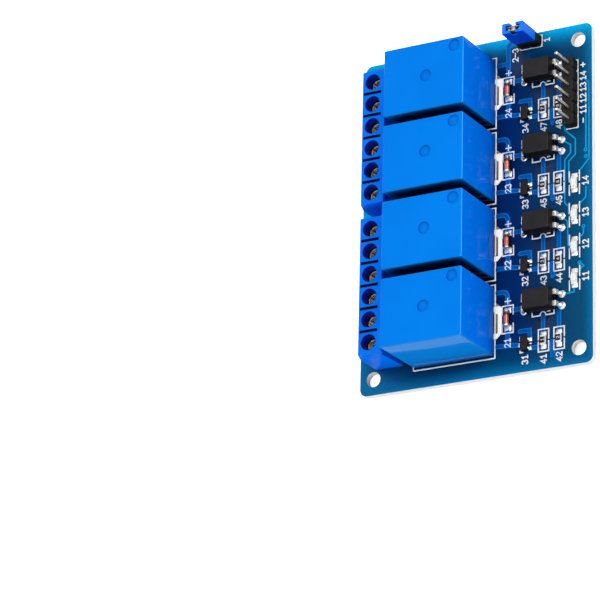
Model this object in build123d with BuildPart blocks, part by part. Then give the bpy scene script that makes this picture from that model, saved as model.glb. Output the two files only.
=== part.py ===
from build123d import *
from math import atan2, degrees, hypot
import os

# A four-channel relay module board, in millimetres.
# X runs from the terminal edge to the header edge, Y along the row of relays, Z up.
# The origin is the centre of the four mounting holes, on the board's underside.

# Bare board
board_thickness = 1.6
corner_radius = 1.6
edge_margin_y = 3.5
mounting_hole_radius = 1.65
mounting_hole_inset_x = 3.2
mounting_hole_inset_y = 3.5

# Channels, one relay each
channel_count = 4
relay_spacing = 2.0

# Small round forms that repeat are cut as polygons, to keep the facets few
drill_sides = 6
bead_sides = 8
screw_sides = 12
well_sides = 20
pin_clearance = 0.1

# Relay: a sealed case on five tinned pins
relay_length = 19.0
relay_width = 15.2
relay_height = 15.2
relay_corner_bevel = 0.4
relay_top_bevel = 0.3
relay_rim = 0.9
relay_recess = 0.4
relay_mark_radius = 1.2
relay_mark_depth = 0.12
relay_end_inset = 2.4
relay_side_inset = 1.6
relay_coil_step = 2.0
relay_pin_width = 1.0
relay_pin_thickness = 0.5
power_pin_tail = 1.9

# Isolation slot milled round each common pin
slot_width = 1.77
slot_reach_x = 3.22
slot_reach_y = 3.0
slot_corner_cut = 0.6
slot_tongue = 2.0

# Screw terminal blocks
pole_count = 6
pole_pitch = 5.08
block_gap = 3.12
block_shift_y = -0.47
block_setback = 4.05
block_height = 10.5
block_front_depth = 3.55
block_back_depth = 2.9
block_top_half = 2.4
block_shoulder_height = 7.1
slit_length = 4.1
slit_width = 0.55
slit_depth = 2.0
chamber_front = 2.65
chamber_back = 1.95
chamber_height = 6.6

# Metalwork of one pole
screw_radius = 1.45
screw_depth = 2.7
screw_reach = 1.5
screw_slot_width = 0.5
screw_slot_depth = 0.6
screw_slot_angle = -38.0
well_clearance = 0.27
cage_clearance = 0.05
cage_side_gap = 0.05
cage_foot = 0.4
cage_wall = 0.5
cage_roof = 1.2
block_pin_width = 1.1
block_pin_thickness = 0.7

# Pin headers
header_pitch = 2.54
header_height = 2.5
header_notch = 0.35
header_pin_size = 0.64
header_pin_rise = 8.1
header_pin_chamfer = 0.15
signal_pin_tail = 1.5
input_pin_count = 6
input_header_drop_y = 15.83
jumper_pin_count = 2
jumper_inset_y = 2.06

# Jumper cap on the two-pin header
cap_end_wall = 0.85
cap_side_wall = 0.73
cap_height = 6.0
cap_gap = 0.5
cap_notch_length = 1.3
cap_notch_height = 1.6
clip_clearance = 0.02
clip_end_overhang = 0.06
clip_thickness = 0.18
clip_top_gap = 0.5
clip_foot_gap = 0.6
clip_web_length = 0.9

# Optocoupler: a four-lead package with its leads splayed outwards
opto_length = 6.5
opto_width = 4.58
opto_height = 3.5
opto_standoff = 0.5
opto_parting = 2.3
opto_draft = 9.0
opto_lead_span = 8.7
opto_lead_pitch = 2.54
opto_lead_thickness = 0.25
opto_shoulder_width = 1.1
opto_shoulder_reach = 0.7
opto_waist_height = 1.0
opto_lead_width = 0.5
opto_offset_y = 2.37

# Diode: a glass bead between two metal end caps
pad_height = 0.05
diode_cap_radius = 0.75
diode_glass_radius = 0.68
diode_glass_length = 2.0
diode_cap_length = 0.75

# Transistor: a small moulded body on three gull-wing leads
transistor_width = 1.3
transistor_length = 2.9
transistor_height = 1.0
transistor_parting = 0.55
transistor_draft = 8.0
transistor_lead_reach = 0.6
transistor_lead_knee = 0.2
transistor_lead_width = 0.42
transistor_lead_thickness = 0.13
transistor_lead_pitch = 1.95
transistor_offset_y = -6.1

# Chip resistors
resistor_body_length = 1.3
resistor_end_length = 0.38
resistor_width = 1.25
resistor_height = 0.5
resistor_offset_y = -5.83

# Indicator LEDs
led_pitch = 7.05
led_row_shift_y = -8.55
led_body_length = 1.9
led_end_length = 0.45
led_width = 1.3
led_base_height = 0.4
led_lens_length = 1.4
led_lens_height = 0.45
led_lens_chamfer = 0.2

# Spaces between the component columns, left to right
relay_gap = 2.3
diode_gap = 3.1
opto_gap = 8.13
transistor_step = -4.16
base_resistor_step = 0.12
led_resistor_step = 3.7
header_step = 6.85
jumper_step = -2.85
led_step = 7.28
led_margin = 4.14

# Solder joints under the board
joint_height = 1.1
joint_land = 0.45
joint_tip_margin = 0.06

# Places worked out from the sizes above
channel_pitch = relay_width + relay_spacing
board_length = channel_count * channel_pitch + 2 * edge_margin_y
block_length = pole_count * pole_pitch
from_edge_to_relay = block_setback + block_front_depth + block_back_depth + relay_gap + relay_length / 2
from_relay_to_edge = relay_length / 2 + diode_gap + opto_gap + led_step + led_margin
board_width = from_edge_to_relay + from_relay_to_edge
board_top = board_thickness
left_edge = -board_width / 2
top_edge = board_length / 2

block_x = left_edge + block_setback + block_front_depth
relay_x = left_edge + from_edge_to_relay
diode_x = relay_x + relay_length / 2 + diode_gap
opto_x = diode_x + opto_gap
transistor_x = opto_x + transistor_step
base_resistor_x = opto_x + base_resistor_step
led_resistor_x = opto_x + led_resistor_step
header_x = opto_x + header_step
header_y = top_edge - input_header_drop_y
jumper_x = opto_x + jumper_step
jumper_y = top_edge - jumper_inset_y
led_x = opto_x + led_step

channel_ys = [(n - (channel_count - 1) / 2) * channel_pitch for n in range(channel_count)]
block_ys = [block_shift_y + side * (block_gap + block_length) / 2 for side in (-1, 1)]
led_ys = [led_row_shift_y + (n - (channel_count - 1) / 2) * led_pitch for n in range(channel_count)]
common_x = relay_x + relay_length / 2 - relay_end_inset
coil_x = common_x - relay_coil_step
contact_x = relay_x - relay_length / 2 + relay_end_inset
relay_pin_y = relay_width / 2 - relay_side_inset

well_radius = screw_radius + well_clearance
cage_opening = 2 * (screw_radius + cage_side_gap)
cage_width = cage_opening + 2 * cage_wall
chamber_width = cage_width + 2 * cage_clearance
cage_low = board_top + cage_foot
cage_high = board_top + chamber_height - cage_clearance
cage_ceiling = cage_high - cage_roof

relay_pin = (relay_pin_thickness, relay_pin_width)
block_pin = (block_pin_thickness, block_pin_width)
header_pin = (header_pin_size, header_pin_size)
opto_lead = (opto_lead_thickness, opto_lead_width)


def pole_ys(block_y):
    """Y of each pole of a terminal block, from the lowest up."""
    return [block_y + (n - (pole_count - 1) / 2) * pole_pitch for n in range(pole_count)]


def header_places(x, y, count, along_y):
    """Pin centres of a straight header."""
    steps = [(n - (count - 1) / 2) * header_pitch for n in range(count)]
    return [(x, y + step) if along_y else (x + step, y) for step in steps]


def relay_places(y):
    """Pin centres under one relay: common, two coil pins and two contact pins."""
    sides = (-relay_pin_y, relay_pin_y)
    return [(common_x, y)] + [(coil_x, y + s) for s in sides] + [(contact_x, y + s) for s in sides]


def hole_radius(pin):
    """Radius of the drilled hole that takes a pin of this section."""
    return hypot(*pin) / 2 + pin_clearance


def opto_places(y):
    """Lead centres of one optocoupler where they pass through the board."""
    half_x, half_y = opto_lead_span / 2, opto_lead_pitch / 2
    return [(opto_x + i * half_x, y + opto_offset_y + j * half_y) for i in (-1, 1) for j in (-1, 1)]


input_places = header_places(header_x, header_y, input_pin_count, True)
jumper_places = header_places(jumper_x, jumper_y, jumper_pin_count, False)
relay_pin_places = [place for y in channel_ys for place in relay_places(y)]
block_pin_places = [(block_x, y) for block_y in block_ys for y in pole_ys(block_y)]
opto_pin_places = [place for y in channel_ys for place in opto_places(y)]
soldered = (
    (relay_pin, relay_pin_places),
    (block_pin, block_pin_places),
    (header_pin, input_places + jumper_places),
    (opto_lead, opto_pin_places),
)

os.makedirs("parts", exist_ok=True)


def keep(piece, name):
    """Label a finished piece and write it as one STEP file."""
    piece.part.label = name
    export_step(piece.part, f"parts/{name}.step")


# Bare board, with its mounting holes, pin holes and isolation slots
with BuildPart() as pcb:
    with BuildSketch():
        RectangleRounded(board_width, board_length, corner_radius)
        with GridLocations(
            board_width - 2 * mounting_hole_inset_x, board_length - 2 * mounting_hole_inset_y, 2, 2
        ):
            Circle(mounting_hole_radius, mode=Mode.SUBTRACT)
        for pin, places in soldered:
            with Locations(*places):
                RegularPolygon(hole_radius(pin), drill_sides, major_radius=False, mode=Mode.SUBTRACT)
        for y in channel_ys:
            far_x, cut = common_x + slot_reach_x, slot_corner_cut
            with BuildLine() as slot_route:
                Polyline(
                    (common_x - slot_tongue, y + slot_reach_y),
                    (far_x - cut, y + slot_reach_y),
                    (far_x, y + slot_reach_y - cut),
                    (far_x, y - slot_reach_y + cut),
                    (far_x - cut, y - slot_reach_y),
                    (common_x - slot_tongue, y - slot_reach_y),
                )
            trace(slot_route.line, line_width=slot_width, mode=Mode.SUBTRACT)
            with Locations(*[(common_x - slot_tongue, y + side * slot_reach_y) for side in (-1, 1)]):
                RegularPolygon(slot_width / 2, bead_sides, False, 180 / bead_sides, mode=Mode.SUBTRACT)
    extrude(amount=board_thickness)
keep(pcb, "pcb")


def make_relay_case(y):
    """Sealed case: bevelled edges, a mould mark on top and a recessed underside."""
    with BuildPart() as case:
        with BuildSketch(Plane.XY.offset(board_top)):
            with Locations((relay_x, y)):
                Rectangle(relay_length, relay_width)
        extrude(amount=relay_height)
        chamfer(case.edges().filter_by(Axis.Z), relay_corner_bevel)
        chamfer(case.faces().sort_by(Axis.Z)[-1].edges(), relay_top_bevel)
        with BuildSketch(Plane.XY.offset(board_top)):
            with Locations((relay_x, y)):
                Rectangle(relay_length - 2 * relay_rim, relay_width - 2 * relay_rim)
        extrude(amount=relay_recess, mode=Mode.SUBTRACT)
        with BuildSketch(Plane.XY.offset(board_top + relay_height)):
            with Locations((relay_x, y)):
                RegularPolygon(relay_mark_radius, bead_sides)
        extrude(amount=-relay_mark_depth, mode=Mode.SUBTRACT)
    return case


def make_relay_pins(y):
    """Five flat pins from the sealed underside down through the board."""
    with BuildPart() as pins:
        with BuildSketch(Plane.XY.offset(-power_pin_tail)):
            with Locations(*relay_places(y)):
                Rectangle(*relay_pin)
        extrude(amount=power_pin_tail + board_top + relay_recess)
    return pins


for number, channel_y in enumerate(channel_ys, 1):
    keep(make_relay_case(channel_y), f"relay_{number}")
    keep(make_relay_pins(channel_y), f"relay_{number}_pins")


def make_block_housing(block_y):
    """Moulded body: shouldered profile, screw wells, slits, metalwork chambers and wire entries."""
    low, high = board_top, board_top + block_height
    well_floor = board_top + chamber_height
    front_x = block_x - block_front_depth
    poles = pole_ys(block_y)
    with BuildPart() as housing:
        with BuildSketch(Plane.XZ.offset(-block_y)):
            with BuildLine():
                Polyline(
                    (front_x, low),
                    (block_x + block_back_depth, low),
                    (block_x + block_top_half, high),
                    (block_x - block_top_half, high),
                    (front_x, low + block_shoulder_height),
                    close=True,
                )
            make_face()
        extrude(amount=block_length / 2, both=True)
        with BuildSketch(Plane.XY.offset(well_floor)):
            with Locations(*[(block_x, y) for y in poles]):
                RegularPolygon(well_radius, well_sides)
        extrude(amount=block_height - chamber_height, mode=Mode.SUBTRACT)
        with BuildSketch(Plane.XY.offset(high)):
            with Locations(*[(block_x, y + pole_pitch / 2) for y in poles[:-1]]):
                Rectangle(slit_length, slit_width)
        extrude(amount=-slit_depth, mode=Mode.SUBTRACT)
        with BuildSketch(Plane.XY.offset(low)):
            with Locations(*[(block_x + (chamber_back - chamber_front) / 2, y) for y in poles]):
                Rectangle(chamber_front + chamber_back, chamber_width)
        extrude(amount=chamber_height, mode=Mode.SUBTRACT)
        with BuildSketch(Plane.YZ.offset(front_x)):
            with Locations(*[(y, (cage_low + cage_wall + cage_ceiling) / 2) for y in poles]):
                Rectangle(cage_opening, cage_ceiling - cage_low - cage_wall)
        extrude(amount=block_front_depth - chamber_front, mode=Mode.SUBTRACT)
    return housing


def make_block_cages(block_y):
    """Six metal cages, open front and back, each with a screw hole in its roof."""
    poles = pole_ys(block_y)
    front, back = chamber_front - cage_clearance, chamber_back - cage_clearance
    floor = cage_low + cage_wall
    with BuildPart() as cages:
        with BuildSketch(Plane.YZ.offset(block_x - front)):
            with Locations(*[(y, (cage_low + cage_high) / 2) for y in poles]):
                Rectangle(cage_width, cage_high - cage_low)
            with Locations(*[(y, (floor + cage_ceiling) / 2) for y in poles]):
                Rectangle(cage_opening, cage_ceiling - floor, mode=Mode.SUBTRACT)
        extrude(amount=front + back)
        with BuildSketch(Plane.XY.offset(cage_ceiling)):
            with Locations(*[(block_x, y) for y in poles]):
                RegularPolygon(screw_radius, screw_sides)
        extrude(amount=cage_roof, mode=Mode.SUBTRACT)
    return cages


def make_block_screws(block_y):
    """Six slotted clamping screws that stand in the cages' roofs."""
    head_z = board_top + block_height - screw_depth
    foot_z = cage_ceiling - screw_reach
    places = [(block_x, y) for y in pole_ys(block_y)]
    with BuildPart() as screws:
        with BuildSketch(Plane.XY.offset(foot_z)):
            with Locations(*places):
                RegularPolygon(screw_radius, screw_sides)
        extrude(amount=head_z - foot_z)
        with BuildSketch(Plane.XY.offset(head_z)):
            with Locations(*places):
                Rectangle(2 * screw_radius, screw_slot_width, rotation=screw_slot_angle)
        extrude(amount=-screw_slot_depth, mode=Mode.SUBTRACT)
    return screws


def make_block_pins(block_y):
    """Six flat pins that carry the cages and pass through the board."""
    with BuildPart() as pins:
        with BuildSketch(Plane.XY.offset(-power_pin_tail)):
            with Locations(*[(block_x, y) for y in pole_ys(block_y)]):
                Rectangle(*block_pin)
        extrude(amount=power_pin_tail + cage_low)
    return pins


for name, block_y in zip(("lower", "upper"), block_ys):
    keep(make_block_housing(block_y), f"{name}_terminal_housing")
    keep(make_block_cages(block_y), f"{name}_terminal_cages")
    keep(make_block_screws(block_y), f"{name}_terminal_screws")
    keep(make_block_pins(block_y), f"{name}_terminal_pins")


def make_header_housing(x, y, count, along_y):
    """Header strip with a vee notch at each pin boundary and a square hole at each pin."""
    long_side, short_side = count * header_pitch, header_pitch
    size = (short_side, long_side) if along_y else (long_side, short_side)
    seams = [(n - count / 2) * header_pitch for n in range(count + 1)]
    notches = [
        (x + side * header_pitch / 2, y + seam) if along_y else (x + seam, y + side * header_pitch / 2)
        for seam in seams
        for side in (-1, 1)
    ]
    notch_side = header_notch * 2**0.5
    with BuildPart() as housing:
        with BuildSketch(Plane.XY.offset(board_top)):
            with Locations((x, y)):
                Rectangle(*size)
            with Locations(*notches):
                Rectangle(notch_side, notch_side, rotation=45, mode=Mode.SUBTRACT)
            with Locations(*header_places(x, y, count, along_y)):
                Rectangle(*header_pin, mode=Mode.SUBTRACT)
        extrude(amount=header_height)
    return housing


def make_header_pins(places):
    """Square header pins with bevelled tips."""
    with BuildPart() as pins:
        with BuildSketch(Plane.XY.offset(-signal_pin_tail)):
            with Locations(*places):
                Rectangle(*header_pin)
        extrude(amount=signal_pin_tail + board_top + header_pin_rise)
        chamfer(pins.faces().group_by(Axis.Z)[-1].edges(), header_pin_chamfer)
    return pins


keep(make_header_housing(header_x, header_y, input_pin_count, True), "input_header_housing")
keep(make_header_pins(input_places), "input_header_pins")
keep(make_header_housing(jumper_x, jumper_y, jumper_pin_count, False), "jumper_header_housing")
keep(make_header_pins(jumper_places), "jumper_header_pins")

# Jumper cap: a shell open above and below, notched across the middle of its top
cap_low = board_top + header_height + cap_gap
cap_high = cap_low + cap_height
clip_length = (jumper_pin_count - 1) * header_pitch + header_pin_size + 2 * clip_end_overhang
cap_cavity_width = header_pin_size + 2 * (clip_thickness + clip_clearance)
cap_width = cap_cavity_width + 2 * cap_side_wall
with BuildPart() as jumper_cap_shell:
    with BuildSketch(Plane.XY.offset(cap_low)):
        with Locations((jumper_x, jumper_y)):
            Rectangle(clip_length + 2 * cap_end_wall, cap_width)
            Rectangle(clip_length, cap_cavity_width, mode=Mode.SUBTRACT)
    extrude(amount=cap_height)
    with BuildSketch(Plane.XY.offset(cap_high)):
        with Locations((jumper_x, jumper_y)):
            Rectangle(cap_notch_length, cap_width)
    extrude(amount=-cap_notch_height, mode=Mode.SUBTRACT)
keep(jumper_cap_shell, "jumper_cap_shell")

# Jumper clip: two spring leaves that grip the pins, joined by a web over the middle
clip_low = cap_low + clip_foot_gap
clip_high = cap_high - clip_top_gap
leaf_y = (header_pin_size + clip_thickness) / 2
with BuildPart() as jumper_cap_clip:
    with BuildSketch(Plane.XY.offset(clip_low)):
        with Locations(*[(jumper_x, jumper_y + side * leaf_y) for side in (-1, 1)]):
            Rectangle(clip_length, clip_thickness)
    extrude(amount=clip_high - clip_low)
    with BuildSketch(Plane.XY.offset(clip_high)):
        with Locations((jumper_x, jumper_y)):
            Rectangle(clip_web_length, header_pin_size)
    extrude(amount=-clip_thickness)
keep(jumper_cap_clip, "jumper_cap_clip")


def make_opto_body(y):
    """Moulded package that tapers both ways from its parting line."""
    parting = board_top + opto_parting
    with BuildPart() as body:
        with BuildSketch(Plane.XY.offset(parting)):
            with Locations((opto_x, y + opto_offset_y)):
                Rectangle(opto_length, opto_width)
        extrude(amount=opto_standoff + opto_height - opto_parting, taper=opto_draft)
        with BuildSketch(Plane.XY.offset(parting)):
            with Locations((opto_x, y + opto_offset_y)):
                Rectangle(opto_length, opto_width)
        extrude(amount=opto_standoff - opto_parting, taper=opto_draft)
    return body


def make_opto_leads(y):
    """Four leads: a wide shoulder at the parting line, then a narrow blade that splays outwards."""
    start = opto_length / 2
    knee = start + opto_shoulder_reach
    foot = opto_lead_span / 2 + opto_lead_thickness / 2
    top, waist = board_top + opto_parting, board_top + opto_waist_height
    thick = opto_lead_thickness
    waist_x = knee + (foot - knee) * (top - waist) / (top - board_top)
    with BuildPart() as leads:
        for side in (-1, 1):
            for row in (-1, 1):
                lead_y = y + opto_offset_y + row * opto_lead_pitch / 2
                plane = Plane((opto_x, lead_y, 0), x_dir=(side, 0, 0), z_dir=(0, -side, 0))
                with BuildSketch(plane):
                    with BuildLine():
                        Polyline(
                            (start, top),
                            (knee, top),
                            (waist_x, waist),
                            (waist_x - thick, waist),
                            (knee - thick, top - thick),
                            (start, top - thick),
                            close=True,
                        )
                    make_face()
                extrude(amount=opto_shoulder_width / 2, both=True)
                with BuildSketch(plane):
                    with BuildLine():
                        Polyline(
                            (waist_x, waist),
                            (foot, board_top),
                            (foot, -signal_pin_tail),
                            (foot - thick, -signal_pin_tail),
                            (foot - thick, board_top),
                            (waist_x - thick, waist),
                            close=True,
                        )
                    make_face()
                extrude(amount=opto_lead_width / 2, both=True)
    return leads


for number, channel_y in enumerate(channel_ys, 1):
    keep(make_opto_body(channel_y), f"optocoupler_{number}")
    keep(make_opto_leads(channel_y), f"optocoupler_{number}_leads")

# Diodes: a glass bead each, and all their end caps together
diode_z = board_top + pad_height + diode_cap_radius
for number, channel_y in enumerate(channel_ys, 1):
    with BuildPart() as diode_glass:
        with BuildSketch(Plane.XZ.offset(-channel_y)):
            with Locations((diode_x, diode_z)):
                RegularPolygon(diode_glass_radius, bead_sides)
        extrude(amount=diode_glass_length / 2, both=True)
    keep(diode_glass, f"diode_{number}")

with BuildPart() as diode_end_caps:
    for channel_y in channel_ys:
        for side in (-1, 1):
            cap_y = channel_y + side * (diode_glass_length + diode_cap_length) / 2
            with BuildSketch(Plane.XZ.offset(-cap_y)):
                with Locations((diode_x, diode_z)):
                    RegularPolygon(diode_cap_radius, bead_sides)
            extrude(amount=diode_cap_length / 2, both=True)
keep(diode_end_caps, "diode_end_caps")


def make_transistor_body(y):
    """Small moulded body that tapers both ways from its parting line."""
    parting = board_top + pad_height + transistor_parting
    with BuildPart() as body:
        with BuildSketch(Plane.XY.offset(parting)):
            with Locations((transistor_x, y + transistor_offset_y)):
                Rectangle(transistor_width, transistor_length)
        extrude(amount=transistor_height - transistor_parting, taper=transistor_draft)
        with BuildSketch(Plane.XY.offset(parting)):
            with Locations((transistor_x, y + transistor_offset_y)):
                Rectangle(transistor_width, transistor_length)
        extrude(amount=-transistor_parting, taper=transistor_draft)
    return body


def make_transistor_leads(y):
    """Three gull-wing leads: one to the left, two to the right."""
    start = transistor_width / 2
    knee = start + transistor_lead_knee
    toe = start + transistor_lead_reach
    sole = board_top + pad_height
    top, thick = sole + transistor_parting, transistor_lead_thickness
    half_pitch = transistor_lead_pitch / 2
    with BuildPart() as leads:
        for side, lead_y in ((-1, 0), (1, -half_pitch), (1, half_pitch)):
            centre_y = y + transistor_offset_y + lead_y
            plane = Plane((transistor_x, centre_y, 0), x_dir=(side, 0, 0), z_dir=(0, -side, 0))
            with BuildSketch(plane):
                with BuildLine():
                    Polyline(
                        (start, top),
                        (knee + thick, top),
                        (knee + thick, sole + thick),
                        (toe, sole + thick),
                        (toe, sole),
                        (knee, sole),
                        (knee, top - thick),
                        (start, top - thick),
                        close=True,
                    )
                make_face()
            extrude(amount=transistor_lead_width / 2, both=True)
    return leads


for number, channel_y in enumerate(channel_ys, 1):
    keep(make_transistor_body(channel_y), f"transistor_{number}")
    keep(make_transistor_leads(channel_y), f"transistor_{number}_leads")


def make_resistor_bodies(x):
    """One column of chip resistors: the ceramic bodies."""
    with BuildPart() as bodies:
        with BuildSketch(Plane.XY.offset(board_top + pad_height)):
            with Locations(*[(x, y + resistor_offset_y) for y in channel_ys]):
                Rectangle(resistor_width, resistor_body_length)
        extrude(amount=resistor_height)
    return bodies


def make_resistor_ends(x):
    """One column of chip resistors: the tinned ends."""
    step = (resistor_body_length + resistor_end_length) / 2
    with BuildPart() as ends:
        with BuildSketch(Plane.XY.offset(board_top + pad_height)):
            for y in channel_ys:
                with Locations(*[(x, y + resistor_offset_y + side * step) for side in (-1, 1)]):
                    Rectangle(resistor_width, resistor_end_length)
        extrude(amount=resistor_height)
    return ends


for name, column_x in (("base", base_resistor_x), ("led", led_resistor_x)):
    keep(make_resistor_bodies(column_x), f"{name}_resistors")
    keep(make_resistor_ends(column_x), f"{name}_resistor_ends")

# Indicator LEDs: one moulded body each, and all their tinned ends together
for number, led_y in enumerate(led_ys, 1):
    base_z = board_top + pad_height
    with BuildPart() as led:
        with BuildSketch(Plane.XY.offset(base_z)):
            with Locations((led_x, led_y)):
                Rectangle(led_width, led_body_length)
        extrude(amount=led_base_height)
        with BuildSketch(Plane.XY.offset(base_z + led_base_height)):
            with Locations((led_x, led_y)):
                Rectangle(led_width, led_lens_length)
        extrude(amount=led_lens_height)
        lens_ends = led.faces().sort_by(Axis.Z)[-1].edges().filter_by(Axis.X)
        chamfer(lens_ends, led_lens_chamfer)
    keep(led, f"indicator_led_{number}")

with BuildPart() as indicator_led_ends:
    end_step = (led_body_length + led_end_length) / 2
    with BuildSketch(Plane.XY.offset(board_top + pad_height)):
        with Locations(*[(led_x, y + side * end_step) for y in led_ys for side in (-1, 1)]):
            Rectangle(led_width, led_end_length)
    extrude(amount=led_base_height)
keep(indicator_led_ends, "indicator_led_ends")


def make_joint(pin):
    """One solder cone under the board, with the pin's section cut through it."""
    hole = hole_radius(pin)
    base_radius, tip_radius = hole + joint_land, hole - pin_clearance + joint_tip_margin
    slope = degrees(atan2(base_radius - tip_radius, joint_height))
    with BuildPart() as joint:
        with BuildSketch():
            RegularPolygon(base_radius, drill_sides, major_radius=False)
        extrude(amount=-joint_height)
        draft(joint.faces().filter_by(Axis.Z, reverse=True), Plane.XY, -slope)
        with BuildSketch():
            Rectangle(*pin)
        extrude(amount=-joint_height, mode=Mode.SUBTRACT)
    return joint


for name, (pin, places) in zip(("relay", "terminal", "header", "optocoupler"), soldered):
    cone = make_joint(pin)
    with BuildPart() as joints:
        with Locations(*places):
            add(cone.part)
    keep(joints, f"{name}_solder_joints")
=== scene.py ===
import bmesh
import bpy
import math
import numpy as np
from mathutils import Matrix, Vector


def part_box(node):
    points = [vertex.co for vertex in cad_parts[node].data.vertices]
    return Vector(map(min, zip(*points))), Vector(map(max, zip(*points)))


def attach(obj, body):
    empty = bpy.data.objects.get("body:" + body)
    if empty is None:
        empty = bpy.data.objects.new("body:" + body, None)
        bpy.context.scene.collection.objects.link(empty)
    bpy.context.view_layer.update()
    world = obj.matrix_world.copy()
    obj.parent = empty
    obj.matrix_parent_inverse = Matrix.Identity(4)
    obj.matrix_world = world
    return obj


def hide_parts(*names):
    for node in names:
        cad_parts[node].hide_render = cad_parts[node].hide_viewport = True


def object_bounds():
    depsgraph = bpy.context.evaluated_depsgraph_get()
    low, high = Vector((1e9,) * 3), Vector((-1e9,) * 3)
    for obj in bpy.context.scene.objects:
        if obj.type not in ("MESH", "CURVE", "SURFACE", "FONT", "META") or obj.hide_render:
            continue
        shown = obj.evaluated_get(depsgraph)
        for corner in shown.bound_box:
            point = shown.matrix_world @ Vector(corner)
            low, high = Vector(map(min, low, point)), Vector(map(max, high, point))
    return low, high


# A four-channel relay module board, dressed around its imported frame.
# Lengths are in millimetres and become metres where a mesh or a material is made.
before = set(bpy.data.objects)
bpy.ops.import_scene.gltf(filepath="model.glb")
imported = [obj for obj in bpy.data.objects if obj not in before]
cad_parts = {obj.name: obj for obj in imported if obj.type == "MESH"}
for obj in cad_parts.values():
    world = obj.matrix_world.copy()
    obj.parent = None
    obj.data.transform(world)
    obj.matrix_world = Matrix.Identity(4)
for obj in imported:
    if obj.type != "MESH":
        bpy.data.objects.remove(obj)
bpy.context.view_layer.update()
scene = bpy.context.scene
MM = 0.001
CHANNELS = (1, 2, 3, 4)


def corners(node):
    """Lowest and highest corner of a node of the frame, in millimetres."""
    low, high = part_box(node)
    return np.array(low) / MM, np.array(high) / MM


def middle(node):
    """Centre of a node of the frame, in millimetres."""
    low, high = corners(node)
    return (low + high) / 2


board_low, board_high = corners("pcb")
TOP = board_high[2]
UNDER = board_low[2]
relay_centres, opto_centres, diode_centres, transistor_centres, led_centres = (
    [middle(f"{part}_{n}") for n in CHANNELS]
    for part in ("relay", "optocoupler", "diode", "transistor", "indicator_led")
)
channel_ys = [centre[1] for centre in relay_centres]
header_low, header_high = corners("input_header_housing")
jumper_low, jumper_high = corners("jumper_header_housing")
base_resistor_x = middle("base_resistors")[0]
led_resistor_x = middle("led_resistors")[0]
resistor_shift = middle("base_resistors")[1] - sum(channel_ys) / 4

# Drawing sizes
COPPER = 0.045
INK = 0.03
INK_WIDTH = 0.3
TEXT_WIDTH = 0.29
TEXT_HEIGHT = 1.28
THIN_TRACE = 0.34
WIDE_TRACE = 1.05
HAIR = 0.0012
SLOT_DEPTH = 0.7


# Surfaces

def edge_lines(low, high, radius, steps, extra=()):
    """Grid lines across one side: low, then steps by equal angles round the edge, and the same at high."""
    turn = radius * np.tan(np.linspace(math.pi / 4, 0, steps + 1))
    lines = np.concatenate([low + radius - turn, np.asarray(extra, float), high - radius + turn])
    return np.unique(lines.round(5))


def rounded_box(low, high, radius, steps=3, extra=((), (), ()), relief=None):
    """Six sheets of a box with round edges: each point of the plain box is moved onto the sphere of the
    given radius about the nearest point of the box that is smaller by that radius on every side.
    relief(x, y) is added to the height of the top sheet."""
    low, high = np.asarray(low, float), np.asarray(high, float)
    lines = [edge_lines(low[k], high[k], radius, steps, extra[k]) for k in range(3)]
    sheets = []
    for axis in range(3):
        a, b = [k for k in range(3) if k != axis]
        for value in (low[axis], high[axis]):
            sheet = np.empty((len(lines[a]), len(lines[b]), 3))
            sheet[..., a], sheet[..., b] = np.meshgrid(lines[a], lines[b], indexing="ij")
            sheet[..., axis] = value
            core = np.clip(sheet, low + radius, high - radius)
            out = sheet - core
            sheet = core + radius * out / np.linalg.norm(out, axis=-1, keepdims=True)
            if relief and axis == 2 and value == high[2]:
                sheet[..., 2] += relief(sheet[..., 0], sheet[..., 1])
            sheets.append(sheet)
    return sheets


def turned(profile, centre, axis=2, sides=32):
    """One sheet turned round an axis through centre: radius r and distance t along the axis, for each
    (r, t) of the profile, with the angle going round in equal steps. A radius of 0 closes an end."""
    radius, along = np.asarray(profile, float).T
    angle = np.linspace(0, 2 * math.pi, sides + 1)
    sheet = np.empty((len(radius), sides + 1, 3))
    a, b = [k for k in range(3) if k != axis]
    sheet[..., a] = centre[a] + radius[:, None] * np.cos(angle)
    sheet[..., b] = centre[b] + radius[:, None] * np.sin(angle)
    sheet[..., axis] = centre[axis] + along[:, None]
    return sheet


def round_profile(radius, length, edge, steps=4):
    """Profile of a pin of that radius and length, centred, with its two edges rounded by quarter turns."""
    turn = np.linspace(0, math.pi / 2, steps + 1)
    foot = [(radius - edge + edge * math.sin(t), -length / 2 + edge - edge * math.cos(t)) for t in turn]
    head = [(r, -t) for r, t in reversed(foot)]
    return [(0, -length / 2), *foot, *head, (0, length / 2)]


def slab(centre, size, profile, corner, steps=4):
    """One sheet of a flat tablet: rings that are rectangles with round corners, one for each (inset, height)
    of the profile, closed to the middle above and below."""
    half = np.asarray(size, float) / 2 - corner
    quarter = np.linspace(0, math.pi / 2, steps + 1)
    signs = np.repeat([(1, 1), (-1, 1), (-1, -1), (1, -1)], steps + 1, axis=0)
    angle = np.concatenate([quarter + k * math.pi / 2 for k in range(4)])
    core = np.asarray(centre, float)[:2] + signs * half
    spread = np.column_stack([np.cos(angle), np.sin(angle)])
    rings = [(core * 0 + centre[:2], profile[0][1])]
    rings += [(core + spread * (corner - inset), z) for inset, z in profile]
    rings.append((rings[0][0], profile[-1][1]))
    sheet = np.array([np.column_stack([ring, np.full(len(ring), z)]) for ring, z in rings])
    return np.concatenate([sheet, sheet[:, :1]], axis=1)


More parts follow.
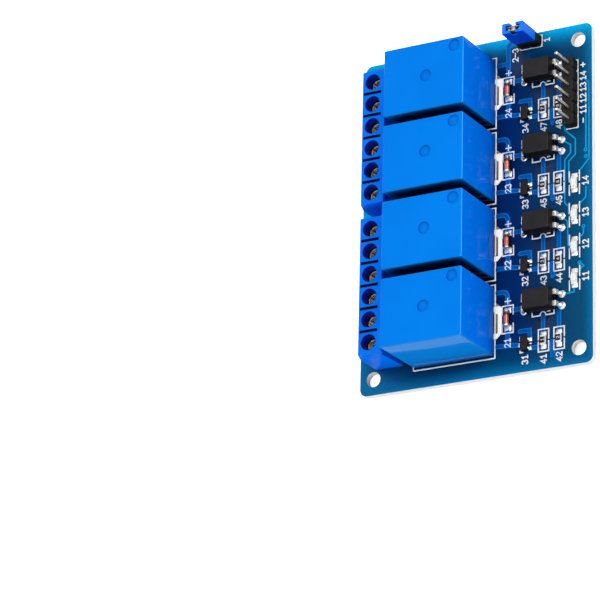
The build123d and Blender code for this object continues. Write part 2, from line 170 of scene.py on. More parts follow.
def ribbon(path, width, low, high, caps=3):
    """One sheet of a flat ribbon: a trapezium section carried along a path, square to it and mitred at
    its corners, with both ends rounded by rows whose width follows a half circle. High may lie below low."""
    path = np.asarray(path, float)
    step = np.diff(path, axis=0)
    run = step / np.linalg.norm(step, axis=1, keepdims=True)
    side = np.column_stack([-run[:, 1], run[:, 0]])
    mitre = side[:-1] + side[1:]
    mitre /= np.maximum(np.sum(mitre * side[1:], axis=1, keepdims=True), 0.35)
    across = np.concatenate([side[:1], mitre, side[-1:]])
    turn = np.linspace(math.pi / 2, 0, caps + 1)[:-1]
    half = width / 2
    start = [(path[0] - run[0] * half * math.sin(t), side[0] * math.cos(t)) for t in turn]
    finish = [(path[-1] + run[-1] * half * math.sin(t), side[-1] * math.cos(t)) for t in turn[::-1]]
    points = np.array([p for p, _ in start] + list(path) + [p for p, _ in finish])
    normals = np.array([n for _, n in start] + list(across) + [n for _, n in finish])
    shoulder = 1 - min(0.4, abs(high - low) / half)
    section = ((-1, low), (-shoulder, high), (shoulder, high), (1, low), (-1, low))
    sheet = np.empty((len(points), len(section), 3))
    for k, (share, z) in enumerate(section):
        sheet[:, k, :2] = points + normals * half * share
        sheet[:, k, 2] = z
    return sheet


def quads(rows, columns, start):
    """Corner numbers of the quads between neighbouring rows and columns of a sheet."""
    r, c = np.meshgrid(np.arange(rows - 1), np.arange(columns - 1), indexing="ij")
    first = start + (r * columns + c).ravel()
    return np.column_stack([first, first + 1, first + columns + 1, first + columns])


def mesh_from_sheets(name, sheets):
    """A closed mesh: the sheets' points joined by quads, doubles merged, faces turned outwards."""
    faces, start = [], 0
    for sheet in sheets:
        faces.append(quads(sheet.shape[0], sheet.shape[1], start))
        start += sheet.shape[0] * sheet.shape[1]
    points = np.concatenate([sheet.reshape(-1, 3) for sheet in sheets]) * MM
    mesh = bpy.data.meshes.new(name)
    mesh.from_pydata(points, [], np.concatenate(faces))
    close_mesh(mesh)
    return mesh


def close_mesh(mesh, flat=False):
    """Merge the doubles, drop what has no area, join flat neighbours if asked, and face outwards."""
    work = bmesh.new()
    work.from_mesh(mesh)
    bmesh.ops.remove_doubles(work, verts=work.verts, dist=2e-6)
    bmesh.ops.dissolve_degenerate(work, edges=work.edges, dist=1e-7)
    if flat:
        bmesh.ops.dissolve_limit(work, angle_limit=math.radians(1), verts=work.verts, edges=work.edges)
    bmesh.ops.recalc_face_normals(work, faces=work.faces)
    work.to_mesh(mesh)
    work.free()


def add_object(name, data):
    """A new object in the scene."""
    made = bpy.data.objects.new(name, data)
    scene.collection.objects.link(made)
    return made


def add_piece(name, mesh, material, replaced=(), smooth=35):
    """Link a finished mesh as a piece of the board, with its material and the nodes it stands for."""
    mesh.polygons.foreach_set("use_smooth", np.ones(len(mesh.polygons), bool))
    mesh.set_sharp_from_angle(angle=math.radians(smooth))
    mesh.materials.append(material)
    piece = add_object(name, mesh)
    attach(piece, "root")
    if replaced:
        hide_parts(*replaced)
    return piece


def sheet_piece(name, sheets, material, replaced=(), smooth=35):
    """A piece made of the given sheets."""
    return add_piece(name, mesh_from_sheets(name, sheets), material, replaced, smooth)


def softened(node, name, material, width, segments=2):
    """A copy of a node's mesh, merged and with its sharp edges bevelled, that stands for the node."""
    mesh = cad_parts[node].data.copy()
    mesh.name = name
    mesh.materials.clear()
    close_mesh(mesh, flat=True)
    piece = add_piece(name, mesh, material, (node,))
    bevel = piece.modifiers.new("edges", "BEVEL")
    bevel.width = width * MM
    bevel.segments = segments
    bevel.limit_method = "ANGLE"
    bevel.angle_limit = math.radians(32)
    return piece


# Shader building blocks

WHITE = (1.0, 1.0, 1.0, 1.0)
SOCKET_KINDS = {1: "NodeSocketFloat", 3: "NodeSocketVector", 4: "NodeSocketColor"}


def srgb(red, green, blue):
    """A colour given as 0 to 255 on screen, as the linear values that a shader takes."""
    share = np.array([red, green, blue]) / 255
    linear = np.where(share <= 0.04045, share / 12.92, ((share + 0.055) / 1.055) ** 2.4)
    return (*linear.tolist(), 1.0)


def add_node(tree, kind, values=(), **settings):
    """A shader node with its settings; values maps an input to a number, a colour or another socket."""
    node = tree.nodes.new("ShaderNode" + kind)
    for key, value in settings.items():
        setattr(node, key, value)
    for key, value in dict(values).items():
        if isinstance(value, bpy.types.NodeSocket):
            tree.links.new(value, node.inputs[key])
        else:
            node.inputs[key].default_value = value
    return node


def effect(name, build, outputs, **inputs):
    """A node group filled by build(tree, input sockets). An input with one, three or four numbers is a
    value, a vector or a colour. The output named Colour is a colour, and the others are values."""
    tree = bpy.data.node_groups.new(name, "ShaderNodeTree")
    for key, value in inputs.items():
        kind = SOCKET_KINDS[np.size(value)]
        tree.interface.new_socket(key, in_out="INPUT", socket_type=kind).default_value = value
    for key in outputs:
        kind = SOCKET_KINDS[4 if key == "Colour" else 1]
        tree.interface.new_socket(key, in_out="OUTPUT", socket_type=kind)
    entry = tree.nodes.new("NodeGroupInput")
    exit_node = tree.nodes.new("NodeGroupOutput")
    for key, socket in build(tree, entry.outputs).items():
        tree.links.new(socket, exit_node.inputs[key])
    return tree


def place(tree):
    """The piece's own Object coordinates."""
    return add_node(tree, "TexCoord").outputs["Object"]


def axes(tree, vector):
    """The X, Y and Z of a vector, by name."""
    return add_node(tree, "SeparateXYZ", {"Vector": vector}).outputs


def noise(tree, scale, detail=3.0, roughness=0.5, spot=None):
    """Noise over the piece, or over other coordinates, as a value."""
    values = {"Vector": spot or place(tree), "Scale": scale, "Detail": detail, "Roughness": roughness}
    return add_node(tree, "TexNoise", values).outputs["Fac"]


def ramp(tree, value, low, high, to_low=0.0, to_high=1.0):
    """A value carried from one range to another, held at both ends."""
    values = {"Value": value, "From Min": low, "From Max": high, "To Min": to_low, "To Max": to_high}
    return add_node(tree, "MapRange", values, clamp=True).outputs["Result"]


def mix_colour(tree, share, first, second):
    """A colour between two others, each another socket or three numbers from 0 to 255 as on screen."""
    first, second = (srgb(*tone) if isinstance(tone, tuple) else tone for tone in (first, second))
    return add_node(tree, "Mix", {0: share, 6: first, 7: second}, data_type="RGBA").outputs[2]


def maths(tree, operation, first, second=0.0):
    """One arithmetic step."""
    return add_node(tree, "Math", {0: first, 1: second}, operation=operation).outputs[0]


def fade(tree, value, low, high):
    """0 at low and 1 at high, both in millimetres."""
    return ramp(tree, value, low * MM, high * MM)


def band(tree, value, edge, width):
    """1 at the edge, falling to 0 over the width; all in millimetres."""
    return fade(tree, value, edge - width, edge)


def placed(tree, group, **values):
    """The outputs of a node group that is placed in a material with its own values."""
    return add_node(tree, "Group", values, node_tree=group).outputs


def build_moulded_grain(tree, entry):
    """Fine grain of a moulding: a fine noise over a coarse one, and a slow change of tone."""
    fine = noise(tree, entry["Scale"], 4.0, 0.6)
    coarse = noise(tree, maths(tree, "MULTIPLY", entry["Scale"], 0.13), 2.0)
    height = maths(tree, "ADD", fine, maths(tree, "MULTIPLY", coarse, 0.6))
    slow = noise(tree, maths(tree, "MULTIPLY", entry["Scale"], 0.035), 2.0)
    share = ramp(tree, slow, 0.3, 0.7)
    colour = mix_colour(tree, share, entry["First"], entry["Second"])
    return {"Height": height, "Colour": colour, "Tone": share}


def build_glass_cloth(tree, entry):
    """Weave of the laminate: two sets of ridges crossed at right angles, as a height."""
    spot = axes(tree, place(tree))
    ridges = [maths(tree, "SINE", maths(tree, "MULTIPLY", spot[axis], entry["Turns"])) for axis in "XY"]
    return {"Height": maths(tree, "MULTIPLY", *ridges)}


def build_drawn_metal(tree, entry):
    """Metal that has been drawn or dipped: streaks along one axis, and darker patches of old tin; on the
    screws the two tones lie far apart and the light flecks are painted glints.
    """
    stretched = add_node(tree, "Mapping", {"Vector": place(tree), "Scale": entry["Stretch"]})
    streak = noise(tree, entry["Scale"], 4.0, spot=stretched.outputs[0])
    patch = ramp(tree, noise(tree, maths(tree, "MULTIPLY", entry["Scale"], 0.3), 3.0), 0.35, 0.75)
    return {
        "Height": streak,
        "Colour": mix_colour(tree, patch, entry["First"], entry["Second"]),
        "Roughness": ramp(tree, streak, 0.3, 0.7, 0.16, 0.42),
    }


def build_contact_shade(tree, entry):
    """How open a spot lies: near 0 far into a gap or a corner, and 1 where nothing stands near. It places the
    painted shade.
    """
    values = {"Distance": entry["Distance"]}
    closeness = add_node(tree, "AmbientOcclusion", values, samples=6).outputs["AO"]
    return {"Open": ramp(tree, closeness, entry["Closed"], entry["Clear"])}


contact_shade = effect("contact_shade", build_contact_shade, ["Open"], Distance=0.003, Closed=0.2, Clear=0.8)
moulded_grain = effect("moulded_grain", build_moulded_grain, ["Height", "Colour", "Tone"],
                       Scale=4000.0, First=WHITE, Second=WHITE)
glass_cloth = effect("glass_cloth", build_glass_cloth, ["Height"], Turns=9000.0)
drawn_metal = effect("drawn_metal", build_drawn_metal, ["Height", "Colour", "Roughness"],
                     Scale=3000.0, Stretch=(1, 1, 1), First=WHITE, Second=WHITE)


def new_material(name, slot=None, shine=0.5, **sockets):
    """A material with one Principled shader whose constants are set on its own sockets. The slot is not used.
    Shine is the specular level."""
    material = bpy.data.materials.new(name)
    material.use_nodes = True
    tree = material.node_tree
    shader = tree.nodes["Principled BSDF"]
    for key, value in {"Specular_IOR_Level": shine, **sockets}.items():
        shader.inputs[key.replace("_", " ")].default_value = value
    return material, tree, shader


def connect(tree, shader, colour, roughness, height, bump):
    """Feed the shader its colour, its roughness and, by a bump in millimetres, its normal."""
    normal = add_node(tree, "Bump", {"Height": height, "Distance": bump * MM}).outputs[0]
    for key, socket in (("Base Color", colour), ("Roughness", roughness), ("Normal", normal)):
        tree.links.new(socket, shader.inputs[key])


def own_normal(tree):
    """X, Y and Z of the object's own normal."""
    return axes(tree, add_node(tree, "TexCoord").outputs["Normal"])


def facing_up(tree):
    """1 on faces that lie flat, whichever way up, and 0 on those that stand upright."""
    return ramp(tree, maths(tree, "ABSOLUTE", own_normal(tree)["Z"]), 0.4, 0.7)


def facing_front(tree):
    """1 on faces towards -Y and 0 on the rest."""
    return ramp(tree, own_normal(tree)["Y"], -0.3, -0.7)


def painted_gap_shade(tree, colour, shade_tone, reach, closed=0.25, clear=0.85):
    """The colour with painted shade, turning to the shade tone in gaps and corners about as narrow as the
    reach in millimetres.
    """
    shade = placed(tree, contact_shade, Distance=reach * MM, Closed=closed, Clear=clear)
    return mix_colour(tree, shade["Open"], shade_tone, colour)


def relay_highlight_strip(tree):
    """1 on the strip of a relay's top that lies along its +X or its +Y side, where a highlight is painted,
    and 0 elsewhere.
    """
    strip, blur = 0.4, 0.05
    pitch = channel_ys[1] - channel_ys[0]
    low, high = corners("relay_1")
    spot = axes(tree, place(tree))
    row = maths(tree, "SUBTRACT", spot["Y"], low[1] * MM)
    along = maths(tree, "FLOORED_MODULO", row, pitch * MM)
    right = band(tree, spot["X"], high[0] - strip, blur)
    return maths(tree, "MAXIMUM", right, band(tree, along, high[1] - low[1] - strip, blur))


def moulding(name, slot, first, second, roughness, scale, bump, shade_tone=None, reach=3.0, closed=0.25,
             clear=0.85, side=None, front=None, edge=None, highlight_place=None, **sockets):
    """Moulded plastic or epoxy: two near tones, a slow change of gloss and a fine grain. The faces that
    stand upright and those towards -Y may have tones of their own that are painted light and shade, the
    rounded edges above them a painted highlight, and gaps and corners a painted shade. Each tone is three
    numbers from 0 to 255."""
    material, tree, shader = new_material(name, slot, **sockets)
    grain = placed(tree, moulded_grain, Scale=scale, First=srgb(*first), Second=srgb(*second))
    colour = grain["Colour"]
    # Painted light and shade: tones for upright faces and faces towards -Y, and a painted highlight on the
    # rounded edges.
    if side:
        flat = facing_up(tree)
        colour = mix_colour(tree, flat, side, colour)
        if front:
            colour = mix_colour(tree, facing_front(tree), colour, front)
        if edge:
            rounded = maths(tree, "MULTIPLY", flat, maths(tree, "SUBTRACT", 1.0, flat))
            if highlight_place:
                rounded = maths(tree, "MULTIPLY", rounded, highlight_place(tree))
            colour = mix_colour(tree, maths(tree, "MULTIPLY", rounded, 4.0), colour, edge)
    # Painted shade in gaps and corners.
    if shade_tone:
        colour = painted_gap_shade(tree, colour, shade_tone, reach, closed, clear)
    gloss = ramp(tree, grain["Tone"], 0.0, 1.0, roughness * 0.85, roughness * 1.15)
    connect(tree, shader, colour, gloss, grain["Height"], bump)
    return material


def masked_copper(name, first, second, shade_tone, reach=5.0, scale=5000.0):
    """Blue mask where copper lies under it, with painted shade in gaps and corners."""
    return moulding(name, "board_mask", first, second, 0.3, scale, 0.004, shade_tone, reach, shine=0.1)


def metal(name, slot, first, second, metallic, scale, bump, stretch=(1, 1, 1), front_shade=None, shade_tone=None):
    """Bare metal with streaks and patches. Its faces towards -Y may take a painted shade, and its corners
    another painted shade.
    """
    material, tree, shader = new_material(name, slot, Metallic=metallic)
    drawn = placed(tree, drawn_metal, Scale=scale, Stretch=stretch, First=srgb(*first), Second=srgb(*second))
    colour = drawn["Colour"]
    if front_shade:
        colour = mix_colour(tree, facing_front(tree), colour, front_shade)
    if shade_tone:
        colour = painted_gap_shade(tree, colour, shade_tone, reach=0.4, closed=0.42, clear=0.7)
    connect(tree, shader, colour, drawn["Roughness"], drawn["Height"], bump)
    return material


BOARD_NAVY = (0, 40, 98)
BOARD_TEAL = (0, 80, 118)
BOARD_RIM_LIGHT = (0, 120, 180)
BOARD_PAINTED_LIGHT = (0, 186, 252)
BOARD_CORNER = (8, 118, 170)
BOARD_GAP_SHADE = (0, 8, 42)
LAMINATE_LIGHT = (253, 253, 251)
LAMINATE_DARK = (243, 242, 238)
LAMINATE_GAP_SHADE = (128, 124, 118)


def make_board_material():
    """Blue mask over glass cloth: navy in the middle and teal towards +X and the far ends, partly for the
    copper under it and partly as painted light; painted light along the rim, at the far end and between the
    terminal blocks; brighter in one corner; and painted shade in gaps and corners. The cut edges, hole walls
    and slots show the bare laminate, with painted shade in the holes and slots."""
    material, tree, shader = new_material("board_mask", "board_mask", shine=0.08)
    flat = facing_up(tree)
    spot = axes(tree, place(tree))
    x, y = spot["X"], spot["Y"]
    half_x, half_y = board_high[:2]
    across = maths(tree, "ABSOLUTE", x)
    along = maths(tree, "ABSOLUTE", y)
    cloud = ramp(tree, noise(tree, 110.0, 2.0), 0.2, 0.7, 0.7, 1.0)
    free = maths(tree, "MAXIMUM", fade(tree, x, 9.0, 24.0), band(tree, along, half_y, 9.0))
    mask = mix_colour(tree, maths(tree, "MULTIPLY", free, cloud), BOARD_NAVY, BOARD_TEAL)
    # Painted light: the mask is lighter along the rim, at the far end and between the terminal blocks.
    rim = maths(tree, "MAXIMUM", band(tree, across, half_x, 2.6), band(tree, along, half_y, 3.0))
    rim = maths(tree, "POWER", rim, 1.5)
    far_end_light = maths(tree, "POWER", band(tree, y, half_y, 7.0), 2.7)
    corner = maths(tree, "MULTIPLY", fade(tree, x, -15.0, -25.0), fade(tree, y, -27.0, -36.0))
    between = maths(tree, "MULTIPLY", fade(tree, x, -20.0, -25.0), fade(tree, along, 6.0, 3.0))
    speck = ramp(tree, noise(tree, 1900.0, 2.0), 0.35, 0.7, 0.0, 0.2)
    for share, tone in ((rim, BOARD_RIM_LIGHT), (far_end_light, BOARD_PAINTED_LIGHT), (corner, BOARD_CORNER),
                        (between, BOARD_PAINTED_LIGHT), (speck, BOARD_NAVY)):
        mask = mix_colour(tree, share, mask, tone)
    # Painted shade in gaps and corners of the mask and on the walls of holes and slots.
    mask = painted_gap_shade(tree, mask, BOARD_GAP_SHADE, reach=6.0, closed=0.15, clear=0.9)
    laminate = mix_colour(tree, ramp(tree, noise(tree, 2600.0), 0.35, 0.65), LAMINATE_LIGHT, LAMINATE_DARK)
    laminate = painted_gap_shade(tree, laminate, LAMINATE_GAP_SHADE, reach=3.0, closed=0.45, clear=0.8)
    weave = maths(tree, "MULTIPLY", placed(tree, glass_cloth)["Height"], 0.25)
    height = maths(tree, "ADD", weave, noise(tree, 3500.0))
    colour = mix_colour(tree, flat, laminate, mask)
    connect(tree, shader, colour, ramp(tree, flat, 0.0, 1.0, 0.75, 0.3), height, 0.006)
    return material


board_mask = make_board_material()
trace_mask = masked_copper("trace_mask", (0, 94, 176), (0, 86, 166), (0, 30, 90))
trace_edge_mask = masked_copper("trace_edge_mask", (10, 128, 208), (6, 116, 198), (0, 54, 128))
thin_trace_mask = masked_copper("thin_trace_mask", (14, 160, 224), (8, 146, 214), (0, 70, 150), 4.0)
# shade_mask: darker mask, partly over copper pours and partly painted shade below the optocouplers and beside
# the jumper.
shade_mask = masked_copper("shade_mask", (36, 60, 96), (26, 48, 86), (6, 14, 36), 6.0, 2200.0)
# Painted shade in the gaps between the cases, painted light and shade on the upright faces and those towards
# -Y, and a painted highlight along the +X and +Y top edges.
relay_blue = moulding("relay_blue", "relay_case", (0, 131, 243), (0, 126, 237), 0.08, 2400.0, 0.0008,
                      (0, 6, 50), 5.0, side=(0, 122, 250), front=(10, 134, 230), edge=(70, 190, 255),
                      highlight_place=relay_highlight_strip, shine=0.035)
# Painted shade in the slits, wells and gaps, and painted light and shade on the upright faces and those
# towards -Y.
terminal_blue = moulding("terminal_blue", "terminal_body", (12, 130, 254), (2, 118, 248), 0.3, 3600.0, 0.006,
                         (0, 6, 60), 1.3, 0.48, 0.9, side=(0, 108, 248), front=(0, 116, 250), shine=0.02)
rim_blue = moulding("rim_blue", "terminal_body", (12, 130, 254), (2, 118, 248), 0.3, 3600.0, 0.006,
                    shine=0.02)
# Near-black strips laid over the slits between the poles as painted shade.
slot_shade = moulding("slot_shade", "terminal_body", (0, 3, 22), (0, 5, 30), 0.6, 3600.0, 0.004, shine=0.02)
# The well liners are the housing's plastic painted darker as shade, with more painted shade further down.
well_shade_blue = moulding("well_shade_blue", "terminal_body", (0, 40, 160), (0, 30, 140), 0.4, 3600.0, 0.006,
                     (0, 0, 22), 2.6, 0.2, 0.55, shine=0.15)
# Painted shade in gaps and corners and on the faces towards -Y, and painted light and shade on the upright
# faces.
cap_blue = moulding("cap_blue", "jumper_body", (36, 138, 255), (16, 120, 250), 0.25, 4200.0, 0.005,
                    (0, 10, 90), 2.0, 0.3, 0.8, side=(8, 120, 250), front=(0, 68, 198), shine=0.03)
# Painted shade in gaps and corners and on the upright faces.
header_black = moulding("header_black", "header_body", (32, 30, 29), (42, 39, 37), 0.5, 4200.0, 0.02,
                        (4, 3, 3), 1.6, side=(16, 15, 14), shine=0.12)
# Painted shade in gaps and corners and on the upright faces, and a painted highlight on the rounded top
# edges.
package_black = moulding("package_black", "package_black", (40, 38, 38), (32, 30, 30), 0.55, 7000.0, 0.016,
                         (2, 2, 2), 4.0, side=(12, 11, 11), edge=(74, 72, 72), shine=0.12)
ceramic_white = moulding("ceramic_white", "resistor_body", (248, 247, 245), (236, 234, 230), 0.5, 6000.0,
                         0.006)
resistor_glaze = moulding("resistor_glaze", "resistor_body", (30, 26, 24), (46, 40, 37), 0.35, 6000.0, 0.006,
                          shine=0.2)
legend_ink = moulding("legend_ink", "legend_ink", (252, 251, 249), (240, 240, 243), 0.6, 9000.0, 0.006,
                      shine=0.2)
led_white = moulding("led_white", "led_body", (252, 252, 250), (242, 241, 236), 0.4, 5000.0, 0.008)
led_lens = moulding("led_lens", "led_body", (255, 255, 253), (244, 248, 244), 0.12, 1400.0, 0.002,
                    Coat_Weight=0.3, Coat_Roughness=0.05)
flux_dark = moulding("flux_dark", "solder", (22, 20, 24), (36, 30, 30), 0.4, 5000.0, 0.004)
diode_glass = moulding("diode_glass", "diode_glass", (242, 128, 96), (196, 78, 56), 0.12, 1400.0, 0.0,
                       Coat_Weight=1.0, Coat_Roughness=0.03)
band_ink = moulding("band_ink", "diode_glass", (24, 20, 20), (40, 32, 30), 0.4, 5000.0, 0.004)
tin = metal("tin", "tinned_metal", (240, 238, 234), (208, 204, 198), 0.8, 2500.0, 0.006)
# Painted shade on the pins' faces towards -Y.
pin_tin = metal("pin_tin", "tinned_metal", (226, 218, 208), (188, 180, 170), 0.7, 1800.0, 0.008,
                (4, 4, 0.4), front_shade=(84, 76, 70))
# Painted shade in the slots and corners of the screw heads; their light flecks are painted glints.
screw_metal = metal("screw_metal", "screw_metal", (255, 248, 226), (140, 122, 92), 0.1, 8000.0, 0.1,
                    shade_tone=(4, 3, 2))
solder_metal = metal("solder_metal", "solder", (250, 249, 246), (226, 223, 216), 0.6, 1500.0, 0.01)
cap_tin = metal("cap_tin", "tinned_metal", (214, 212, 208), (92, 88, 86), 0.85, 3200.0, 0.02)
# Painted shade in the clip's corners.
clip_metal = metal("clip_metal", "tinned_metal", (206, 202, 192), (36, 34, 32), 0.9, 4200.0, 0.02,
                   shade_tone=(6, 5, 4))


# Pieces of the board

def disc_marks(centre, marks, depth, edge):
    """Shallow round marks: the height falls by depth inside each circle, smoothly over its edge."""
    def relief(x, y):
        height = np.zeros_like(x)
        for dx, dy, radius in marks:
            away = np.hypot(x - centre[0] - dx, y - centre[1] - dy)
            t = np.clip((radius + edge - away) / (2 * edge), 0, 1)
            height -= depth * t * t * (3 - 2 * t)
        return height
    return relief


def make_relay_cases():
    """Sealed cases with round edges and two ejector marks on top, each given by its x, y and radius."""
    marks = ((0.6, 0.1, 1.25), (7.3, 5.75, 1.25))
    mark_depth, mark_edge, case_edge, margin = 0.42, 0.09, 0.42, 0.5
    around = np.linspace(-1.45, 1.45, 37)
    for number, centre in zip(CHANNELS, relay_centres):
        low, high = corners(f"relay_{number}")
        extra = []
        for k in (0, 1):
            lines = np.concatenate([centre[k] + mark[k] + around for mark in marks])
            extra.append(np.clip(lines, low[k] + margin, high[k] - margin))
        relief = disc_marks(centre, marks, mark_depth, mark_edge)
        sheets = rounded_box(low, high, case_edge, 4, (*extra, ()), relief)
        sheet_piece(f"relay_case_{number}", sheets, relay_blue, (f"relay_{number}",))


def make_terminal_blocks():
    """Housings with softened edges, a smooth liner with a rolled lip in each screw well, painted darker as
    shade, a near-black strip of painted shade over the slit between the poles and a raised rim along the
    relays' side."""
    well_floor, strip_size = 8.25, (4.2, 0.62)
    for block in ("lower", "upper"):
        softened(f"{block}_terminal_housing", f"{block}_terminal_body", terminal_blue, 0.14)
        low, high = corners(f"{block}_terminal_housing")
        screws_low, screws_high = corners(f"{block}_terminal_screws")
        x = (screws_low[0] + screws_high[0]) / 2
        ys = pole_ys(low[1], high[1])
        top = high[2]
        lip = [(1.66, well_floor), (1.66, top - 0.1), (1.69, top), (1.73, top + 0.012), (1.79, top + 0.006),
               (1.80, top - 0.04), (1.71, top - 0.15), (1.71, well_floor), (1.66, well_floor)]
        wells = [turned(lip, (x, y, 0), 2, 48) for y in ys]
        rim = rounded_box((screws_high[0] + 0.66, low[1] + 0.03, top - 1.0),
                          (screws_high[0] + 1.5, high[1] - 0.03, top + 0.015), 0.08)
        strip = [(0, top - 0.3), (0, top + 0.012), (0.02, top + 0.02)]
        strips = [slab((x, (a + b) / 2), strip_size, strip, 0.05) for a, b in zip(ys, ys[1:])]
        screws = [screw_head((x, y), screws_low[2], screws_high[2]) for y in ys]
        sheet_piece(f"{block}_terminal_slot_shades", strips, slot_shade)
        sheet_piece(f"{block}_terminal_rim", rim, rim_blue)
        sheet_piece(f"{block}_terminal_wells", wells, well_shade_blue)
        sheet_piece(f"{block}_clamping_screws", screws, screw_metal, (f"{block}_terminal_screws",), 28)


def pole_ys(low, high, count=6):
    """Y of each pole of a terminal block, or of each pin of the input header."""
    pitch = (high - low) / count
    return low + pitch * (np.arange(count) + 0.5)


def screw_head(centre, low, high, radius=1.54, sides=96):
    """A clamping screw: rings from the foot up, over a rounded rim and in to the middle of the head. The
    head is sunk by SLOT_DEPTH where a ring point lies in its slot or in the shorter cross slot, and a fine
    cross hatch lifts it by products of sines."""
    rings, below_head = 30, 6
    hatch_height, hatch_turns = 0.26, 12.0
    slot = math.radians(-38)
    head = np.concatenate([[radius, radius - 0.03, radius - 0.1], np.linspace(radius - 0.16, 0, rings)])
    rise = np.concatenate([[-0.14, -0.05, -0.01], np.zeros(rings)])
    radii = np.concatenate([[0, radius - 0.1, radius], head])
    heights = np.concatenate([[low, low, low + 0.1], high + rise])
    sheet = turned(np.column_stack([radii, heights]), (*centre, 0), 2, sides)
    x, y = sheet[..., 0] - centre[0], sheet[..., 1] - centre[1]
    along, across = x * math.cos(slot) + y * math.sin(slot), -x * math.sin(slot) + y * math.cos(slot)
    t = np.clip((0.27 - np.abs(across)) / 0.08, 0, 1)
    u = np.clip((0.24 - np.abs(along)) / 0.08, 0, 1) * np.clip((0.95 - np.abs(across)) / 0.15, 0, 1)
    hatch = hatch_height * np.sin(x * hatch_turns) * np.sin(y * hatch_turns)
    hatch = hatch * np.clip((radius - 0.2 - np.hypot(x, y)) / 0.2, 0, 1)
    sheet[below_head:, :, 2] += (hatch - SLOT_DEPTH * np.maximum(t, u))[below_head:]
    return sheet


def make_headers():
    """Header strips, their pins and the jumper cap."""
    for header in ("input", "jumper"):
        softened(f"{header}_header_housing", f"{header}_header_strip", header_black, 0.09)
        softened(f"{header}_header_pins", f"{header}_pins", pin_tin, 0.05)
    softened("jumper_cap_shell", "jumper_cap", cap_blue, 0.22, 3)
    softened("jumper_cap_clip", "jumper_clip", clip_metal, 0.03)


def make_optos():
    """Optocoupler bodies and leads, the domes of solder on their right leads and, on the left, open pads
    with a ring of solder."""
    pitch, dome_x, ring_x = 2.54, 4.33, 4.42
    ring = [(0.46, 0), (0.47, 0.07), (0.56, 0.12), (0.68, 0.09), (0.76, 0), (0.46, 0)]
    disc = [(0, 0), (0.47, 0), (0.47, 0.02), (0, 0.02)]
    domes, rings, discs = [], [], []
    for number, centre in zip(CHANNELS, opto_centres):
        softened(f"optocoupler_{number}", f"opto_body_{number}", package_black, 0.1)
        softened(f"optocoupler_{number}_leads", f"opto_leads_{number}", tin, 0.05)
        for row in (-0.5, 0.5):
            y = centre[1] + row * pitch
            spot = (centre[0] - ring_x, y, TOP)
            domes.append(turned(solder_profile(0.82, 0.36, 0.8, 0.02), (centre[0] + dome_x, y, TOP), 2, 28))
            rings.append(turned(ring, spot, 2, 28))
            discs.append(turned(disc, spot, 2, 20))
    sheet_piece("opto_solder_domes", domes, solder_metal)
    sheet_piece("opto_pad_rings", rings, solder_metal)
    sheet_piece("opto_pad_middles", discs, flux_dark)


def solder_profile(base, tip, height, land):
    """Profile of a solder fillet: from a flat land its radius falls to the tip's with the remaining height
    to the power 1.8."""
    t = np.linspace(0, 1, 8)
    radius = tip + (base - land - tip) * (1 - t) ** 1.8
    rise = 0.05 + (height - 0.05) * t
    crown = ((tip * 0.5, height + 0.04), (0, height + 0.05))
    return [(0, 0), (base, 0), (base, 0.03), *zip(radius, rise), *crown]


def make_diodes():
    """Glass beads with a dark band at the cathode, between two metal caps."""
    bead_radius, cap_radius, cap_length = 0.55, 0.75, 0.5
    stripe = [(0.53, 0.6), (0.57, 0.63), (0.57, 1.12), (0.53, 1.15), (0.53, 0.6)]
    caps, stripes = [], []
    for number, centre in zip(CHANNELS, diode_centres):
        low, high = corners(f"diode_{number}")
        length = high[1] - low[1] + cap_length
        bead = turned(round_profile(bead_radius, length, 0.1), centre, 1)
        sheet_piece(f"diode_bead_{number}", [bead], diode_glass, (f"diode_{number}",))
        stripes.append(turned(stripe, centre, 1))
        for side in (-1, 1):
            spot = (centre[0], centre[1] + side * (length + cap_length) / 2, centre[2])
            caps.append(turned(round_profile(cap_radius, cap_length, 0.14), spot, 1))
    sheet_piece("diode_caps", caps, cap_tin, ("diode_end_caps",))
    sheet_piece("diode_bands", stripes, band_ink)


def make_transistors():
    """Three-lead packages with round edges, and their feet."""
    for number in CHANNELS:
        low, high = corners(f"transistor_{number}")
        body = rounded_box(low, high + (0.26, 0, 0.04), 0.08)
        sheet_piece(f"transistor_body_{number}", body, package_black, (f"transistor_{number}",))
        softened(f"transistor_{number}_leads", f"transistor_feet_{number}", tin, 0.03)


def make_resistors():
    """Chip resistors: a white ceramic block with a dark film on top, wrapped by a metal cap at each end."""
    half_body, cap_reach, half_cap, film_shift = 0.85, 0.84, 0.2, 0.06
    marks = []
    for first, name, x in ((0, "base", base_resistor_x), (1, "led", led_resistor_x)):
        low, high = corners(f"{name}_resistors")
        bodies, films, ends = [], [], []
        for number, channel_y in zip(CHANNELS, channel_ys):
            y = channel_y + resistor_shift
            bodies += rounded_box((low[0], y - half_body, low[2]), (high[0], y + half_body, high[2] - 0.08),
                                  0.04, 2)
            film = [(0, high[2] - 0.12), (0, high[2] - 0.05), (0.03, high[2] - 0.02)]
            films.append(slab((x - film_shift, y), (high[0] - low[0] - 0.16, 1.42), film, 0.08))
            marks += number_strokes(str(2 * number - 1 + first), (x - film_shift, y), 0.62)
            for end in (y - cap_reach, y + cap_reach):
                ends += rounded_box((low[0] - 0.02, end - half_cap, low[2]),
                                    (high[0] + 0.02, end + half_cap, high[2]), 0.09)
        sheet_piece(f"{name}_resistor_bodies", bodies, ceramic_white, (f"{name}_resistors",))
        sheet_piece(f"{name}_resistor_films", films, resistor_glaze)
        sheet_piece(f"{name}_resistor_caps", ends, tin, (f"{name}_resistor_ends",))
    film_top = corners("base_resistors")[1][2] - 0.02
    sheets = [ribbon(path, 0.12, film_top - 0.01, film_top + 0.01) for path in marks]
    sheet_piece("resistor_marks", sheets, legend_ink)


